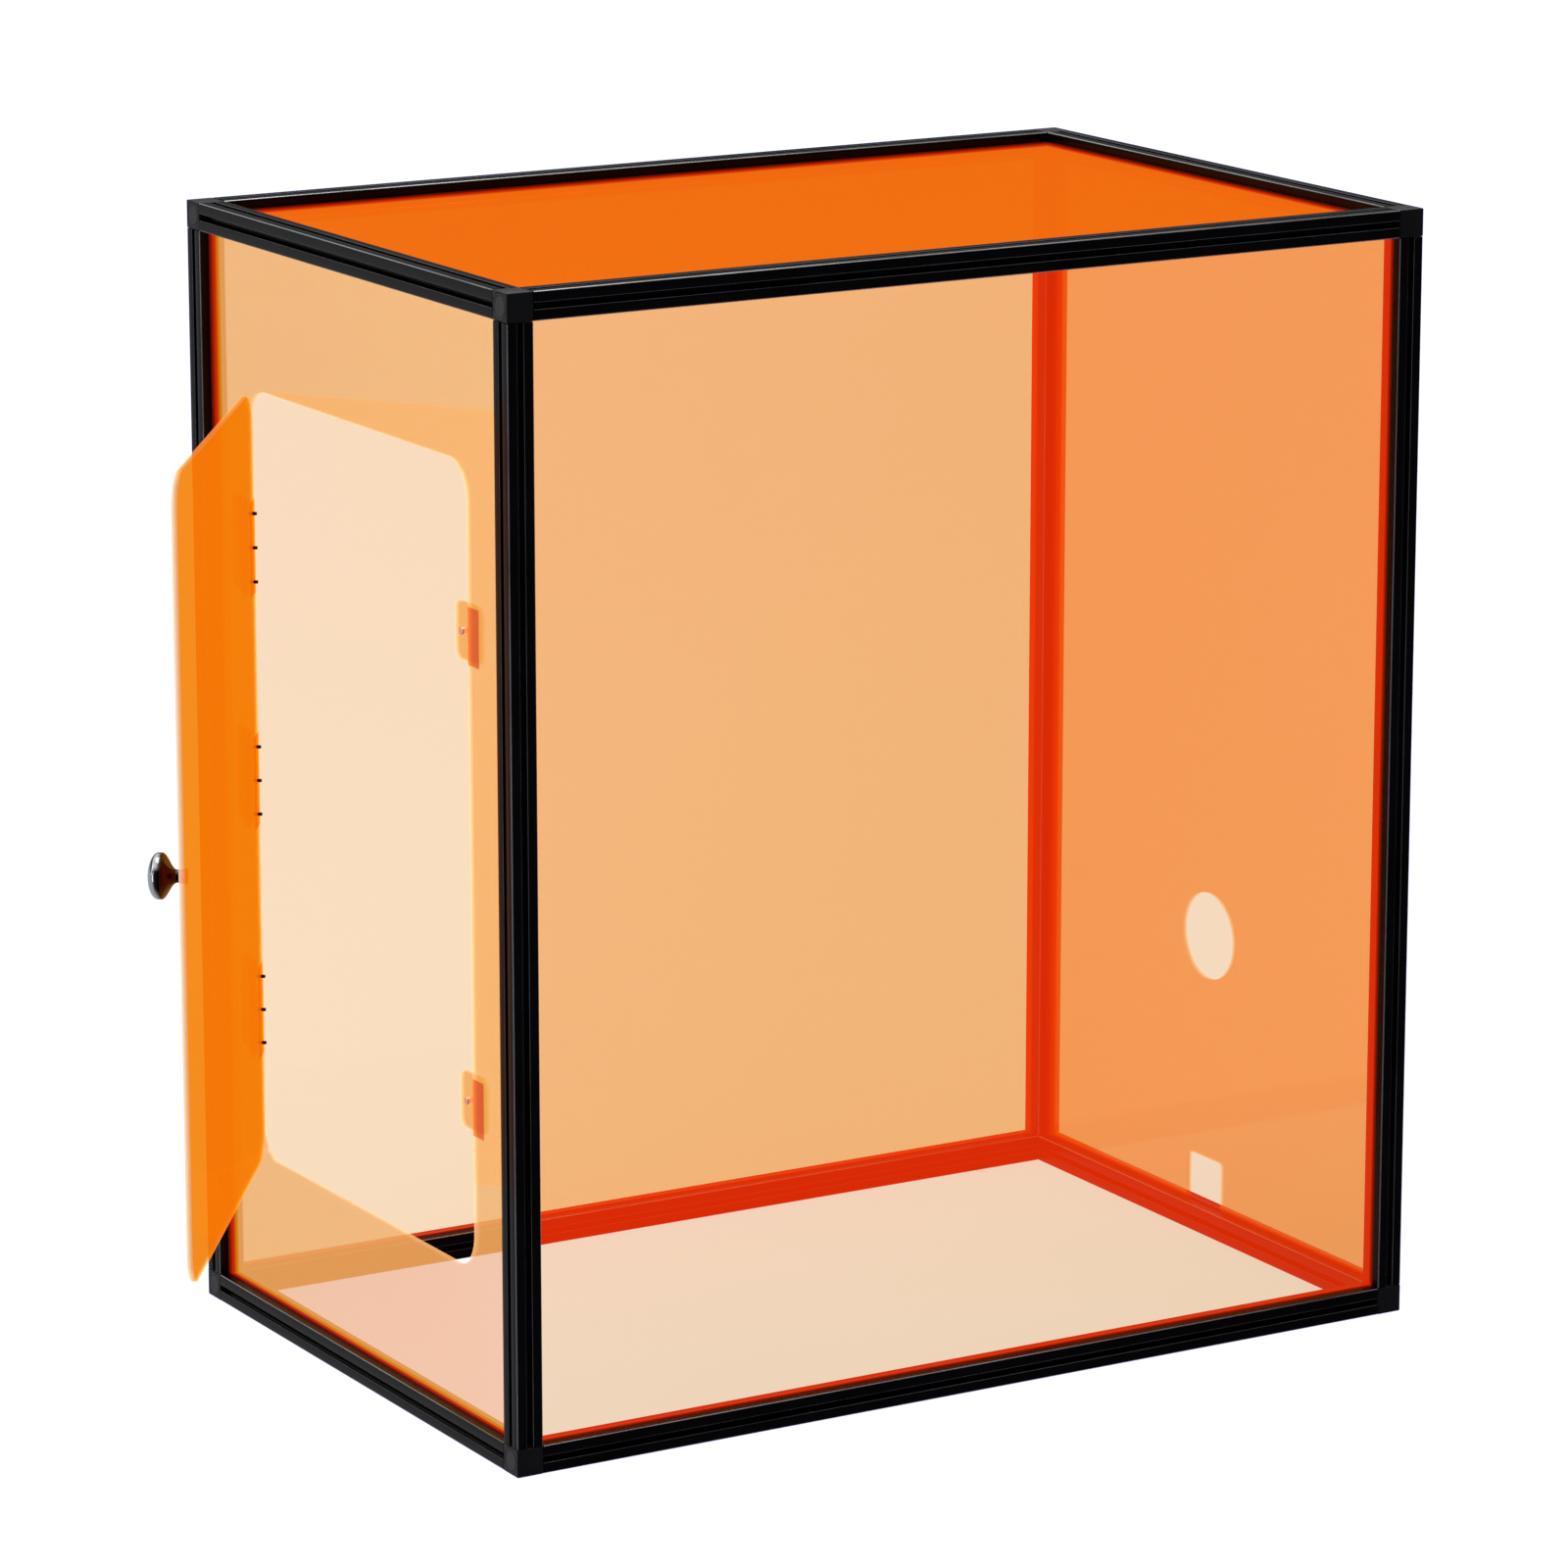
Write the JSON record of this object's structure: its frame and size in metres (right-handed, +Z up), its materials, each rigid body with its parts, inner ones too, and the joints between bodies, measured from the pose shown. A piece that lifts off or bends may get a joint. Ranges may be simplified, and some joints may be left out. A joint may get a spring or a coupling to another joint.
{
  "type": "enclosed machine cabinet",
  "caption": "Box-shaped open-base enclosure: a black slotted-profile frame with translucent orange sheet walls, a side door on hinges with a knob, a duct hole and a cable notch.",
  "frame": {"origin": "on the surface it stands on, in the middle of the whole footprint with the door part open, so the case itself lies a little to +X", "axes": "+Z up, front panel at -Y, hinged door in the -X side, duct hole and cable notch in the +X side"},
  "size_m": [0.6902, 0.36, 0.61],
  "materials": {
    "black_profile": "black anodised extrusion, satin",
    "black_block": "black satin",
    "black_plug": "black moulded plastic",
    "orange_acrylic": "translucent fluorescent orange sheet, polished",
    "orange_acrylic_door": "translucent fluorescent orange sheet, polished, with bright cut edges",
    "orange_hinge": "translucent orange, moulded",
    "black_chrome": "black chrome, mirror",
    "black_screw": "black oxide",
    "steel_pin": "ground steel",
    "nickel": "nickel plated"
  },
  "bodies": {
    "case": {"corner_bottom_back_door_side": "black_block", "corner_bottom_back_duct_side": "black_block", "corner_bottom_front_door_side": "black_block", "corner_bottom_front_duct_side": "black_block", "corner_top_back_door_side": "black_block", "corner_top_back_duct_side": "black_block", "corner_top_front_door_side": "black_block", "corner_top_front_duct_side": "black_block", "hinge_lower_fixed_leaf": "orange_hinge", "hinge_lower_pin": "steel_pin", "hinge_middle_fixed_leaf": "orange_hinge", "hinge_middle_pin": "steel_pin", "hinge_upper_fixed_leaf": "orange_hinge", "hinge_upper_pin": "steel_pin", "panel_back": "orange_acrylic", "panel_door_side": "orange_acrylic", "panel_duct_side": "orange_acrylic", "panel_front": "orange_acrylic", "panel_top": "orange_acrylic", "plug_bottom_back_door_side": "black_plug", "plug_bottom_back_duct_side": "black_plug", "plug_bottom_front_door_side": "black_plug", "plug_bottom_front_duct_side": "black_plug", "plug_top_back_door_side": "black_plug", "plug_top_back_duct_side": "black_plug", "plug_top_front_door_side": "black_plug", "plug_top_front_duct_side": "black_plug", "post_back_door_side": "black_profile", "post_back_duct_side": "black_profile", "post_front_door_side": "black_profile", "post_front_duct_side": "black_profile", "rail_bottom_back": "black_profile", "rail_bottom_door_side": "black_profile", "rail_bottom_duct_side": "black_profile", "rail_bottom_front": "black_profile", "rail_top_back": "black_profile", "rail_top_door_side": "black_profile", "rail_top_duct_side": "black_profile", "rail_top_front": "black_profile", "stop_magnet_lower": "nickel", "stop_magnet_upper": "nickel", "stop_tab_lower": "orange_acrylic", "stop_tab_upper": "orange_acrylic"},
    "door": {"door": "orange_acrylic_door", "hinge_lower_door_leaf": "orange_hinge", "hinge_lower_screw_1": "black_screw", "hinge_lower_screw_2": "black_screw", "hinge_lower_screw_3": "black_screw", "hinge_middle_door_leaf": "orange_hinge", "hinge_middle_screw_1": "black_screw", "hinge_middle_screw_2": "black_screw", "hinge_middle_screw_3": "black_screw", "hinge_upper_door_leaf": "orange_hinge", "hinge_upper_screw_1": "black_screw", "hinge_upper_screw_2": "black_screw", "hinge_upper_screw_3": "black_screw", "knob": "black_chrome"}
  },
  "joints": [
    {"name": "door_hinge", "type": "hinge", "parent": "case", "child": "door", "pos_m": [-0.20179, 0.1235, 0.305], "axis": [0, 0, -1], "range_deg": [-34.8, 135]}
  ]
}
